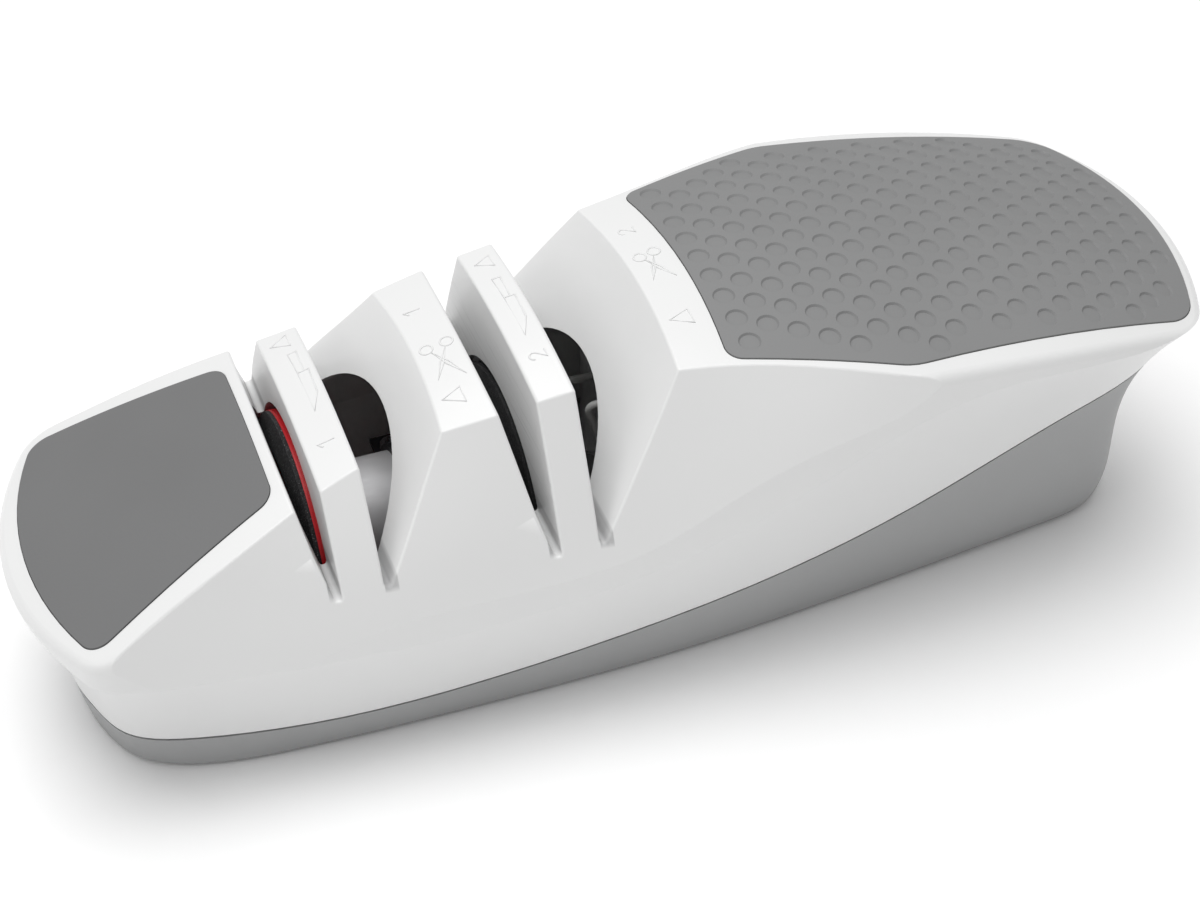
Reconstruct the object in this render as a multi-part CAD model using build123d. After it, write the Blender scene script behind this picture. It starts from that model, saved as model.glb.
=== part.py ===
from build123d import *
import math
import os

# Battery-driven knife and scissors sharpener.
# Frame: millimetres, +Z up, the feet stand on Z = 0, X runs from the nose (-X) to the grip (+X),
# and the origin is under the middle of the body's box.

# ---- overall body ----
LENGTH = 242.0             # rim to rim along X
WIDTH = 84.0               # across the grip rim
HEIGHT = 76.2              # crown of the grip above the table
DRAWN_LENGTH = 242.0       # the outline tables are drawn on a body of this length
DRAWN_WIDTH = 84.0         # and of this width
CROWN_X = 23.5             # where the crown is highest
CROWN_ALONG_R = 308.0      # top surface radius along the body
CROWN_ACROSS_R = 151.0     # top surface radius across the body
NOSE_BOW = 11.0            # bulge of the rim at the nose
HEEL_BOW = 10.5            # and at the grip end
NOSE_NARROW = 8.0          # the rim's nose corners, in from the widest line
HEEL_NARROW = 5.6
NOSE_CORNER_R = 8.0
HEEL_CORNER_R = 10.0
FOOT_PROUD = 1.0           # feet below the base
WALL = 2.2                 # side walls and floor
TOP_WALL = 3.4             # top wall, which carries the pad recesses
RIM_ROUND = 2.4            # edge of the nose deck and of the grip
SLOT_ROUND = 0.6           # slot mouths and the shoulders of the ribs
PART_GAP = 0.6             # shadow gap between the two shells
LIP_T = 1.0                # tongue of the base inside the housing
LIP_H = 2.4
TONGUE_ROOT = 3.5          # how far the tongue reaches down inside the base wall
SEAT = 0.1                 # clearance of fitted plastic pieces

# ---- guide slots, named by the vertical faces of the two ribs ----
COARSE_RIB_X = -64.6       # nose-side face of the coarse rib
COARSE_RIB_T = 8.0
FINE_RIB_X = -23.2         # nose-side face of the fine rib
FINE_RIB_T = 7.5
KNIFE_FLOOR_Z = 43.6       # bottom of the V of a knife slot
KNIFE_FLOOR_W = 1.3
KNIFE_BREAK_Z = 51.6       # where the V opens into the slanted guide face
KNIFE_BREAK_W = 3.52
KNIFE_SLANT = 0.2          # tangent of the guide face from vertical
SCISSOR_FLOOR_Z = 44.6
SCISSOR_FLOOR_W = 1.03
SCISSOR_SLANT = 0.63
SLOT_CORNER_R = 0.62       # rounding at the foot of every slot
GUIDE_WALL = 2.0

# ---- drive ----
AXIS_Z = 30.6              # height of the motor shaft
WHEEL_R = 25.0
WHEEL_BORE_CLEAR = 1.5     # wheel rim to its window in the ribs
RAMP_BORE_CLEAR = 3.8      # wheel rim to the round window in each scissors ramp
RAMP_WINDOW_L = 20.0
COARSE_REACH = 3.1         # how far each wheel window cuts past the rib, into the guide face
FINE_REACH = 2.4
RIB_CLEAR = 0.5            # window past the other face of the rib
COARSE_PROUD = 1.4         # wheel rim out of the coarse rib
FINE_PROUD = 0.3
RING_W = 6.0               # abrasive ring, measured along the radius
RING_T = 0.8
RING_ANGLE = 12.0          # cone of the knife ring
HUB_R = 4.6
HUB_PROUD = 0.6            # hub past the rim on both sides
WEB_T = 2.4
FILLET_T = 1.2             # slope from the web out to the hub and to the rim
GROOVE = 0.35              # fine groove round the rim
SHAFT_R = 1.5
SHAFT_X0 = -70.0
SHAFT_X1 = -11.5
RUN_CLEAR = 0.05           # radial clearance of the shaft in its bushes
NUT_R = 3.6
NUT_T = 1.2
NUT_TEETH = 6
CAN_X0 = -53.5             # nose end of the motor can
CAN_R = 12.0
CAN_LEN = 25.5
CAN_WALL = 0.9
CAN_ROUND = 1.0
VENT_R = 1.6
VENT_RING_R = 6.6
NECK_R = 3.4               # necks at both ends of the motor, round the bushes
NECK_LEN = 1.6
BUSH_R = 2.6
BUSH_LEN = 3.0
BELL_T = 3.0
CORE_R = 8.2
CORE_LEN = 10.0
CORE_IN = 5.5              # core from the closed end of the can
CORE_POLES = 5
COIL_LEN = 2.4
MAGNET_LEN = 14.0
MAGNET_IN = 3.5            # magnets from the closed end of the can
MAGNET_GAP = 0.6
COMMUTATOR_R = 3.0
COMMUTATOR_LEN = 4.0
COMMUTATOR_END = 0.6       # commutator to the end bell
BRUSH_Y = 7.2
BRUSH_LEN = 2.4
TAB_T = 0.5                # solder tabs of the motor
TAB_W = 2.4
TAB_OUT = 1.6
SADDLE_T = 2.5
SADDLE_SPREAD = 15.0       # between the two saddles
STRAP_W = 7.0
STRAP_T = 1.2
STRAP_TAB = 8.0
CLAMP_SCREW_R = 1.2
CLAMP_SCREW_LEN = 8.0
CLAMP_HEAD_R = 2.2
CLAMP_HEAD_H = 1.4

# ---- batteries ----
CELL_R = 7.15
CELL_LEN = 50.5
CELL_NUB = 1.0
CELL_ROUND = 0.6
CELL_GAP = 0.5             # between neighbouring cells
NUB_R = 2.7
CELL_X = 47.0              # middle of the cells
CONTACT_T = 0.4
CONTACT_W = 11.0
CONTACT_TAB_W = 3.0
CONTACT_TAB_H = 9.0
CONTACT_SEAT = 0.02
SPRING_R = 4.0
SPRING_WIRE_R = 0.35
SPRING_TURNS = 3
BAY_WALL = 1.5
BAY_END = 2.6              # room past each end of a cell
BAY_FLOOR_Z = 5.0          # top of the thick floor under the cells
DOOR_T = 2.0
DOOR_TRAVEL = 5.0
DOOR_L = 62.0
DOOR_W = 36.0
DOOR_GAP = 0.3
TONGUE_W = 1.2             # tongues along the door, and how high they lie
TONGUE_T = 0.8
TONGUE_UP = 1.2
RIDGES = 5                 # finger grooves on the door
RIDGE_PITCH = 2.6
RIDGE_W = 1.2
RIDGE_L = 16.0
RIDGE_DEPTH = 0.5

# ---- switch on the far side ----
SWITCH_X = 23.0
SWITCH_Z = 31.5
BEZEL_L = 21.0
BEZEL_W = 15.0
BEZEL_T = 1.6
BEZEL_SINK = 1.0           # how deep the bezel lies in its recess
BEZEL_GAP = 0.15
BEZEL_CORNER_R = 1.5
SWITCH_BODY_L = 19.0
SWITCH_BODY_W = 12.8
SWITCH_DEPTH = 13.0
ROCKER_L = 14.6
ROCKER_W = 9.4
ROCKER_GAP = 0.4           # rocker to the ends of its well
ROCKER_THROW = 16.0        # degrees from off to on
ROCKER_PIN_R = 0.9
ROCKER_PIN_DEPTH = 3.4     # under the front of the bezel
TERMINAL_X = 4.5
TERMINAL_T = 0.6
TERMINAL_W = 3.0
TERMINAL_LEN = 6.0

# ---- pads, screws, feet ----
PAD_T = 1.2
PAD_PROUD = 0.25
PAD_GAP = 0.15
BOSS_R = 3.3
BASE_BOSS_MORE = 0.7       # base bosses over the housing bosses
SCREW_R = 1.45
SCREW_HEAD_R = 2.8
SCREW_HEAD_H = 1.8
SCREW_LEN = 14.0
SCREW_SEAT_Z = 7.0         # under the screw heads
BOSS_SPLIT_Z = 13.0        # where a base boss meets a housing boss
FOOT_R = 5.0
FOOT_T = 2.0

# ---- leads ----
LEAD_R = 0.8
LEAD_PASS = 3.5            # leads past the rim of the fine wheel
LEAD_X = -27.15            # where they turn in beside the motor

# ---- places that follow from the sizes ----
BASE_Z = FOOT_PROUD
HALF = LENGTH / 2
RIM = WIDTH / 2
SCREW_PLACES = [(-HALF + 25, 12), (6, 24), (HALF - 35, 12)]
FOOT_PLACES = [(-HALF + 39, 15.5), (HALF - 23, 9.5)]
CAN_X1 = CAN_X0 + CAN_LEN
BELL_X0 = CAN_X1 - BELL_T
MOTOR_MID = (CAN_X0 + CAN_X1) / 2
CORE_X0 = CAN_X0 + CORE_IN
CLAMP_SCREW_Y = CAN_R + SEAT + STRAP_T + STRAP_TAB / 2
RIM_IN_R = WHEEL_R - RING_W - 0.3
FIXED_BORE = SHAFT_R + 0.01
COARSE = (COARSE_RIB_X, COARSE_RIB_T, COARSE_PROUD)
FINE = (FINE_RIB_X, FINE_RIB_T, FINE_PROUD)
CELL_PITCH = 2 * CELL_R + CELL_GAP
CELL_Z = BAY_FLOOR_Z + 0.2 + CELL_R
CELL_SHIFT = BAY_END - CONTACT_T - 0.05   # each cell is pushed towards its nub
BAY_IN_L = CELL_LEN + 2 * BAY_END
BAY_IN_W = CELL_PITCH + 2 * CELL_R + 0.6
BAY_IN_TOP = CELL_Z + CELL_PITCH + CELL_R + 0.5
CONTACT_END = BAY_IN_L / 2 - CONTACT_SEAT  # outer face of a contact from the middle of the cells
DOOR_X = CELL_X - DOOR_TRAVEL / 2
TONGUE_Z = BASE_Z + TONGUE_UP
TERMINAL_SIDE = TERMINAL_X + TERMINAL_T / 2
LEAD_TOUCH = LEAD_R + 0.02  # axis of a lead beside a tab that it is soldered to
LEAD_Y = WHEEL_R + LEAD_PASS


# ---------------------------------------------------------------- outer form
def station(x):
    """Place along the body of a point in an outline table."""
    return x * LENGTH / DRAWN_LENGTH


def reach(y):
    """Place across the body of a point in an outline table."""
    return y * WIDTH / DRAWN_WIDTH


def mirrored(half):
    """Closed outline from its +Y half, which starts and ends on the X axis."""
    points = [(station(x), reach(y)) for x, y in half]
    back = [(x, -y) for x, y in reversed(points[1:-1])]
    return points + back


def inset_points(points, inset):
    """Move each point of a closed outline inward, square to its neighbours."""
    moved = []
    count = len(points)
    for i, (x, y) in enumerate(points):
        ax, ay = points[i - 1]
        bx, by = points[(i + 1) % count]
        tx, ty = bx - ax, by - ay
        size = math.hypot(tx, ty)
        moved.append((x + ty / size * inset, y - tx / size * inset))
    return moved


SKIRT = [
    (0.0, [(-110.6, 0), (-109, 9.5), (-104, 18.6), (-94, 24.3), (-75, 27.2), (-40, 28.6), (0, 28.8),
           (35, 26.6), (65, 23.5), (90, 20.8), (102, 18.5), (108.8, 13), (110.8, 0)]),
    (30.0, [(-114.8, 0), (-113.2, 11), (-108.8, 21.5), (-98, 29), (-77, 34.5), (-40, 37.4), (0, 37.6),
            (35, 35.3), (65, 31.6), (90, 28.1), (101.6, 24.9), (108.5, 15.4), (110.4, 0)]),
    (50.0, [(-119, 0), (-117.4, 12), (-112, 24), (-101, 33.5), (-79, 40), (-40, 43.2), (0, 43.2),
            (35, 40.6), (65, 37), (91, 34), (105.5, 29.6), (114, 17), (116.3, 0)]),
    (64.0, [(-124, 0), (-122.2, 12), (-115.6, 26), (-103, 37), (-80, 44.5), (-40, 47.4), (0, 47),
            (35, 44.6), (65, 42), (95, 41), (113, 36.5), (124, 21), (128, 0)]),
    (80.0, [(-130, 0), (-128, 12), (-120, 28), (-105, 41), (-82, 49), (-40, 52), (0, 52),
            (35, 50), (65, 49), (99, 49), (121, 44), (136, 25), (141, 0)]),
]


def skirt(inset):
    """Lower body: flares from the narrow foot outline up to the rim."""
    wires = []
    for z, half in SKIRT:
        outline = [(x, y, z) for x, y in inset_points(mirrored(half), inset)]
        wires.append(Wire([Edge.make_spline(outline, periodic=True)]))
    return Solid.make_loft(wires)


FLANKS = [
    (-128, [(33.5, 25), (35.2, 34), (34, 43), (22, 82)]),
    (-100, [(34.8, 25), (34.2, 36), (31.6, 47), (16, 82)]),
    (-82, [(35.6, 25), (33.6, 39), (27.4, 55.5), (14, 82)]),
    (-62, [(37, 25), (33.2, 45.5), (22.6, 62.5), (11, 82)]),
    (-40, [(39.6, 25), (35, 45.5), (22.6, 67.3), (14.6, 82)]),
    (-18, [(43.6, 25), (36.4, 45.5), (23.6, 72), (18.4, 82)]),
    (3, [(45, 25), (39.2, 48.5), (26.8, 73), (22, 82)]),
    (25, [(45.5, 25), (40.8, 58), (33.1, 72), (26.5, 82)]),
    (48, [(45, 25), (43.4, 58), (40.9, 70), (36.5, 82)]),
    (75, [(46, 25), (45, 58), (44, 70), (41, 82)]),
    (128, [(46, 25), (45, 58), (44, 70), (41, 82)]),
]


def flanks(inset):
    """Upper side faces: from the side crease in to the shoulder of the top."""
    wires = []
    for drawn_x, half in FLANKS:
        x = station(drawn_x)
        right = [(x, reach(y) - inset, z) for y, z in half]
        left = [(x, -y, z) for _, y, z in reversed(right)]
        side = Edge.make_spline(right)
        top = Edge.make_line(right[-1], left[0])
        other = Edge.make_spline(left)
        low_right = (x, right[0][1] + 6, -5)
        low_left = (x, -right[0][1] - 6, -5)
        edges = [side, top, other, Edge.make_line(left[-1], low_left), Edge.make_line(low_left, low_right),
                 Edge.make_line(low_right, right[0])]
        wires.append(Wire(edges))
    return Solid.make_loft(wires)


def crown(inset):
    """Everything under the doubly curved top surface."""
    along = CROWN_ALONG_R - inset
    across = CROWN_ACROSS_R - inset
    hub_z = HEIGHT - CROWN_ALONG_R
    half_w = WIDTH
    edge_z = along - across + math.sqrt(across ** 2 - half_w ** 2)
    arc = Edge.make_three_point_arc((0, -half_w, edge_z), (0, 0, along), (0, half_w, edge_z))
    low = along - 110
    outline = Wire([arc, Edge.make_line((0, half_w, edge_z), (0, half_w, low)),
                    Edge.make_line((0, half_w, low), (0, -half_w, low)),
                    Edge.make_line((0, -half_w, low), (0, -half_w, edge_z))])
    slab = Solid.revolve(Face(outline), 70, Axis.Y)
    return slab.rotate(Axis.Y, -35).moved(Location((CROWN_X, 0, hub_z)))


def rim_sketch(inset):
    """Plan outline of the rim: bowed nose, widening sides, rounded back end."""
    wide = (station(30), RIM - 0.53)
    heel = (HALF - HEEL_BOW, RIM - HEEL_NARROW)
    tip = (-HALF + NOSE_BOW, RIM - NOSE_NARROW)
    side = (wide[0] - tip[0], wide[1] - tip[1])
    nose = ThreePointArc(tip, (-HALF, 0), (tip[0], -tip[1]))
    far = Line(tip, wide)
    far_bow = TangentArc(wide, heel, tangent=side)
    rear = ThreePointArc(heel, (HALF, 0), (heel[0], -heel[1]))
    near = Line((tip[0], -tip[1]), (wide[0], -wide[1]))
    near_bow = TangentArc((wide[0], -wide[1]), (heel[0], -heel[1]), tangent=(side[0], -side[1]))
    face = make_face([nose, far, far_bow, rear, near_bow, near])
    face = fillet(face.vertices().sort_by(Axis.X)[:2], NOSE_CORNER_R)
    face = fillet(face.vertices().sort_by(Axis.X)[-2:], HEEL_CORNER_R)
    return offset(face, -inset) if inset else face


LIP_EDGE = [(-126, 38), (-116, 37.5), (-110, 36), (-104, 34.7), (-98, 33.4), (-90, 32.4), (-78, 31.6),
            (-62, 31.2), (-46, 34)]
PART_LINE = [(-135, 8), (-92, 10), (-47, 10.6), (-4, 15.6), (39, 24.6), (81, 39.2), (104, 48), (130, 58),
             (150, 65)]


def above_curve(points, low=0.0):
    """Everything over a curve drawn in the XZ plane, across the whole width."""
    curve = Edge.make_spline([(station(x), 0, z + low) for x, z in points])
    start, end = curve @ 0, curve @ 1
    top = 120
    edges = [curve, Edge.make_line(end, (end.X, 0, top)), Edge.make_line((end.X, 0, top), (start.X, 0, top)),
             Edge.make_line((start.X, 0, top), start)]
    face = Face(Wire(edges))
    return extrude(face, WIDTH, dir=(0, 1, 0), both=True)


def body_form(inset, top_inset=None):
    """The closed outer form, or the same form moved in by a wall."""
    top_inset = inset if top_inset is None else top_inset
    block = extrude(rim_sketch(inset), 100).moved(Location((0, 0, BASE_Z + inset))) & crown(top_inset)
    if not inset:
        block = fillet(block.faces().sort_by(Axis.Z)[-1].edges(), RIM_ROUND)
    lower = skirt(inset) + above_curve(LIP_EDGE, inset)
    return block & flanks(inset) & lower


# ---------------------------------------------------------------- guide slots
def slot_face(upright_x, leans, slant, foot):
    """Slot section in XZ: an upright face, a foot and a slanted face that leads up out of the body.

    leans is -1 where the slanted face is on the nose side, +1 where it is on the grip side.
    foot lists (distance from the upright face, height) from the floor up."""
    top = HEIGHT + 20
    last_w, last_z = foot[-1]
    profile = [(0, top), (0, foot[0][1])] + foot + [(last_w + slant * (top - last_z), top)]
    section = make_face(Polyline(*[(upright_x + leans * w, z) for w, z in profile], close=True))
    return Plane.XZ * fillet(section.vertices().sort_by(Axis.Y)[:2], SLOT_CORNER_R)


def slot_faces(straight):
    """Sections of the four slots; straight leaves out the narrow foot of the knife slots."""
    knife_foot = [(KNIFE_FLOOR_W, KNIFE_FLOOR_Z), (KNIFE_BREAK_W, KNIFE_BREAK_Z)]
    if straight:
        knife_foot = [(KNIFE_BREAK_W - KNIFE_SLANT * (KNIFE_BREAK_Z - KNIFE_FLOOR_Z), KNIFE_FLOOR_Z)]
    faces = []
    for rib_x, rib_t, _ in (COARSE, FINE):
        faces.append(slot_face(rib_x, -1, KNIFE_SLANT, knife_foot))
        faces.append(slot_face(rib_x + rib_t, 1, SCISSOR_SLANT, [(SCISSOR_FLOOR_W, SCISSOR_FLOOR_Z)]))
    return faces


def along_x(radius, x0, x1, y=0.0, z=AXIS_Z):
    """Round bar parallel to the motor shaft."""
    return Pos((x0 + x1) / 2, y, z) * Rot(0, 90, 0) * Cylinder(radius, abs(x1 - x0))


def slot_cuts(wall=0.0):
    """The four slots, or with a wall the blocks that the guide walls are left from."""
    blocks = None
    for face in slot_faces(straight=wall > 0):
        section = offset(face, wall) if wall else face
        block = extrude(section, WIDTH, both=True)
        blocks = block if blocks is None else blocks + block
    return blocks


def wheel_windows():
    """Round openings: for each wheel in its rib, and a larger one in each scissors ramp."""
    window_r = WHEEL_R + WHEEL_BORE_CLEAR
    ramp_r = WHEEL_R + RAMP_BORE_CLEAR
    cuts = []
    for (rib_x, rib_t, _), past in ((COARSE, COARSE_REACH), (FINE, FINE_REACH)):
        cuts.append(along_x(window_r, rib_x - past, rib_x + rib_t + RIB_CLEAR))
        cuts.append(along_x(ramp_r, rib_x + rib_t, rib_x + rib_t + RAMP_WINDOW_L))
    return cuts


def on_crown(point):
    """Whether a point lies on the top surface."""
    turn_r = math.hypot(point.X - CROWN_X, point.Z - HEIGHT + CROWN_ALONG_R)
    surface_r = CROWN_ALONG_R - CROWN_ACROSS_R + math.sqrt(CROWN_ACROSS_R ** 2 - point.Y ** 2)
    return abs(turn_r - surface_r) < 0.02


def is_shoulder(edge):
    """Whether an edge runs along the body where a flank meets the top."""
    start, middle, end = edge @ 0.1, edge @ 0.5, edge @ 0.9
    if not (on_crown(start) and on_crown(middle) and on_crown(end)):
        return False
    along = abs(end.X - start.X) > abs(end.Y - start.Y)
    return along and abs(middle.Y) > RIM / 3 and -0.4 * LENGTH < middle.X < 0.24 * LENGTH


def slotted_form():
    """Outer form with the four slots, its ribs and mouths softly rounded."""
    form = body_form(0)
    slots = slot_cuts()
    body = form - slots
    mouths = new_edges(form, slots, combined=body)
    shoulders = body.edges().filter_by(is_shoulder)
    return fillet(mouths + shoulders, SLOT_ROUND)


# ---------------------------------------------------------------- pads
def nose_outline(gap=0.0):
    """Plan outline of the nose pad: bowed at the nose, tapering to the first slot."""
    bow = (-HALF + 11.4, reach(30.4))
    back_x = COARSE_RIB_X - 7.8
    arc = ThreePointArc(bow, (-HALF + 4.2, 0), (bow[0], -bow[1]))
    low = Line((bow[0], -bow[1]), (back_x, -reach(19.6)))
    back = Line((back_x, -reach(19.6)), (back_x, reach(19.6)))
    high = Line((back_x, reach(19.6)), bow)
    face = fillet(make_face([arc, low, back, high]).vertices(), 4)
    return offset(face, gap) if gap else face


def grip_outline(gap=0.0):
    """Plan outline of the grip pad: both ends bowed, widest a little behind its front."""
    corner = (13.0, reach(27.4))
    wide = (station(46), RIM - 4)
    heel = (HALF - 11, RIM - 8.8)
    front = ThreePointArc((corner[0], -corner[1]), (corner[0] + 1.7, 0), corner)
    far_a = Line(corner, wide)
    far_b = Line(wide, heel)
    rear = ThreePointArc(heel, (HALF - 3.1, 0), (heel[0], -heel[1]))
    near_b = Line((heel[0], -heel[1]), (wide[0], -wide[1]))
    near_a = Line((wide[0], -wide[1]), (corner[0], -corner[1]))
    face = make_face([front, far_a, far_b, rear, near_b, near_a])
    face = fillet(face.vertices().sort_by(Axis.X)[:2], 3.5)
    face = fillet(face.vertices().sort_by(Axis.X)[-2:], 9)
    sides = face.vertices().filter_by(lambda v: abs(v.X - wide[0]) < 1)
    face = fillet(sides, 14)
    return offset(face, gap) if gap else face


def pad(outline):
    """Soft inlay between two copies of the crown."""
    return extrude(outline, 100) & (crown(-PAD_PROUD) - crown(PAD_T - 0.02))


def pad_recess(outline):
    """Pocket for a pad."""
    return extrude(outline, 100) & (crown(-5) - crown(PAD_T))


# ---------------------------------------------------------------- switch place
def skirt_half_width(x, z):
    """Half width of the lower body at a place on its side, read between the outlines."""
    widths = []
    for level, half in SKIRT:
        half = [(station(at), reach(y)) for at, y in half]
        for (xa, ya), (xb, yb) in zip(half, half[1:]):
            if xa <= x <= xb:
                widths.append((level, ya + (yb - ya) * (x - xa) / (xb - xa)))
                break
    for (za, ya), (zb, yb) in zip(widths, widths[1:]):
        if za <= z <= zb:
            return ya + (yb - ya) * (z - za) / (zb - za)


def switch_plane():
    """Plane tangent to the far side wall, its Z axis pointing out of the wall."""
    y = skirt_half_width(SWITCH_X, SWITCH_Z)
    rise = (skirt_half_width(SWITCH_X, SWITCH_Z + 4) - skirt_half_width(SWITCH_X, SWITCH_Z - 4)) / 8
    run = (skirt_half_width(SWITCH_X + 8, SWITCH_Z) - skirt_half_width(SWITCH_X - 8, SWITCH_Z)) / 16
    return Plane(origin=(SWITCH_X, y, SWITCH_Z), x_dir=(1, run, 0), z_dir=(-run, 1, -rise))


def at_switch(shape, depth):
    """Place a piece drawn with its outer face on local Z = 0, that far under the wall."""
    return switch_plane() * Pos(0, 0, -depth) * shape


def slab(length, width, thick, radius=0.8):
    """Plate with rounded corners whose outer face is at local Z = 0."""
    outline = RectangleRounded(length, width, radius)
    return extrude(outline, thick, dir=(0, 0, -1))


def switch_cutout():
    """Recess for the bezel and the hole behind it."""
    outline = RectangleRounded(BEZEL_L + 2 * BEZEL_GAP, BEZEL_W + 2 * BEZEL_GAP, BEZEL_CORNER_R)
    recess = extrude(outline, 12, dir=(0, 0, 1))
    hole = extrude(Rectangle(SWITCH_BODY_L + 2 * SEAT, SWITCH_BODY_W + 2 * SEAT), 30, both=True)
    return at_switch(recess, BEZEL_SINK) + at_switch(hole, 0)


def switch_body():
    """Bezel and body of the rocker switch, open at the front for the rocker."""
    bezel = slab(BEZEL_L, BEZEL_W, BEZEL_T, BEZEL_CORNER_R)
    bezel = fillet(bezel.faces().sort_by(Axis.Z)[-1].edges(), 0.5)
    box = Pos(0, 0, -BEZEL_T) * slab(SWITCH_BODY_L, SWITCH_BODY_W, SWITCH_DEPTH - BEZEL_T, 0.5)
    well = slab(ROCKER_L + 2 * ROCKER_GAP, ROCKER_W + 1.5 * ROCKER_GAP, SWITCH_DEPTH - 2.0, 0.5)
    pin_hole = Rot(90, 0, 0) * Cylinder(ROCKER_PIN_R + RUN_CLEAR, SWITCH_BODY_W + 2)
    body = bezel + box - well - Pos(0, 0, -ROCKER_PIN_DEPTH) * pin_hole
    return at_switch(body, BEZEL_SINK - BEZEL_T)


def rocker():
    """Rocker with a shallow V face, stored tipped to off."""
    half = ROCKER_L / 2 - 0.5
    with BuildSketch(Plane.XZ) as section:
        with BuildLine():
            face_l = Line((-half, 1.6), (0, -0.2))
            face_r = Line((0, -0.2), (half, 1.6))
            side_r = Line((half, 1.6), (half - 1.2, -3.2))
            under = ThreePointArc((half - 1.2, -3.2), (0, -6.2), (-half + 1.2, -3.2))
            side_l = Line((-half + 1.2, -3.2), (-half, 1.6))
        make_face()
    block = extrude(section.sketch, ROCKER_W / 2, both=True)
    block = fillet(block.edges().filter_by(Axis.Y).sort_by(Axis.Z)[-2:], 0.5)
    block -= Pos(0, 0, -ROCKER_PIN_DEPTH) * Rot(90, 0, 0) * Cylinder(ROCKER_PIN_R + RUN_CLEAR, ROCKER_W + 2)
    block = Pos(0, 0, -ROCKER_PIN_DEPTH) * Rot(0, -ROCKER_THROW / 2, 0) * Pos(0, 0, ROCKER_PIN_DEPTH) * block
    return at_switch(block, BEZEL_SINK - BEZEL_T)


def rocker_pin():
    """Steel pin that the rocker tips on."""
    pin = Pos(0, 0, -ROCKER_PIN_DEPTH) * Rot(90, 0, 0) * Cylinder(ROCKER_PIN_R, SWITCH_BODY_W - 0.2)
    return at_switch(pin, BEZEL_SINK - BEZEL_T)


def switch_terminals():
    """Two solder tabs out of the back of the switch."""
    tabs = []
    for x in (-TERMINAL_X, TERMINAL_X):
        tab = Pos(x, 0, -SWITCH_DEPTH - TERMINAL_LEN / 2) * Box(TERMINAL_T, TERMINAL_W, TERMINAL_LEN)
        tabs.append(at_switch(tab, BEZEL_SINK - BEZEL_T))
    return tabs


# ---------------------------------------------------------------- screws and bosses
def both_sides(places):
    """Each place on the +Y side and its mirror image."""
    return [(x, side * y) for x, y in places for side in (1, -1)]


def upright(radius, z0, z1, x, y):
    """Round post from z0 to z1."""
    return Pos(x, y, (z0 + z1) / 2) * Cylinder(radius, z1 - z0)


def housing_bosses():
    """Posts under the top wall that the case screws bite into."""
    bosses = None
    for x, y in both_sides(SCREW_PLACES):
        post = upright(BOSS_R, BOSS_SPLIT_Z + SEAT, HEIGHT, x, y)
        bosses = post if bosses is None else bosses + post
    return bosses & crown(TOP_WALL - 0.5)


def housing_pilot_holes():
    """Blind holes for the case screws."""
    depth = SCREW_LEN - (BOSS_SPLIT_Z - SCREW_SEAT_Z) + 2
    return [upright(SCREW_R + RUN_CLEAR, BOSS_SPLIT_Z, BOSS_SPLIT_Z + depth, x, y)
            for x, y in both_sides(SCREW_PLACES)]


def screw(length, radius, head_r, head_h):
    """Pan-head screw, its head's underside on Z = 0 and its shank up +Z."""
    head = Pos(0, 0, -head_h / 2) * Cylinder(head_r, head_h)
    head = fillet(head.edges().sort_by(Axis.Z)[:1], head_h * 0.4)
    recess = Pos(0, 0, -head_h + 0.45) * (Box(head_r, 0.7, 0.95) + Box(0.7, head_r, 0.95))
    shank = Pos(0, 0, length / 2) * Cylinder(radius, length)
    shank = chamfer(shank.edges().sort_by(Axis.Z)[-1:], radius * 0.6)
    return head + shank - recess


def housing_screws():
    """Six case screws, driven from underneath."""
    return [Pos(x, y, SCREW_SEAT_Z) * screw(SCREW_LEN, SCREW_R, SCREW_HEAD_R, SCREW_HEAD_H)
            for x, y in both_sides(SCREW_PLACES)]


# ---------------------------------------------------------------- drive
def ring_x(outer_r, inner_r, x0, x1):
    """Tube on the motor axis."""
    return along_x(outer_r, x0, x1) - along_x(inner_r, x0 - 1, x1 + 1)


def motor_can():
    """Drawn steel can with a bush neck at its closed end."""
    shell = along_x(CAN_R, CAN_X0, CAN_X1)
    shell = fillet(shell.edges().sort_by(Axis.X)[:1], CAN_ROUND)
    shell -= along_x(CAN_R - CAN_WALL, CAN_X0 + CAN_WALL, CAN_X1 + 1)
    neck = along_x(NECK_R, CAN_X0 - NECK_LEN, CAN_X0 + 1.5)
    cuts = [along_x(BUSH_R, CAN_X0 - NECK_LEN - 1, CAN_X0 + 4)]
    for turn in (90, 210, 330):
        y = VENT_RING_R * math.cos(math.radians(turn))
        z = VENT_RING_R * math.sin(math.radians(turn))
        cuts.append(along_x(VENT_R, CAN_X0 - 1, CAN_X0 + 2, y, AXIS_Z + z))
    return shell + neck - cuts


def motor_end_bell():
    """Moulded cap that closes the can and carries the brushes."""
    cap = along_x(CAN_R - CAN_WALL - RUN_CLEAR, BELL_X0, CAN_X1)
    cap += along_x(NECK_R, CAN_X1 - 0.5, CAN_X1 + NECK_LEN)
    cap -= along_x(BUSH_R, BELL_X0 - 1, CAN_X1 + NECK_LEN + 1)
    for side in (1, -1):
        cap -= Pos(CAN_X1, side * BRUSH_Y, AXIS_Z) * Box(20, TAB_T + SEAT, TAB_W + SEAT)
    return cap


def motor_bushes():
    """Sintered bushes at both ends of the motor."""
    left = ring_x(BUSH_R - 0.01, SHAFT_R + RUN_CLEAR, CAN_X0 - NECK_LEN, CAN_X0 - NECK_LEN + BUSH_LEN)
    right = ring_x(BUSH_R - 0.01, SHAFT_R + RUN_CLEAR, CAN_X1 + NECK_LEN - BUSH_LEN, CAN_X1 + NECK_LEN)
    return [left, right]


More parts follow.
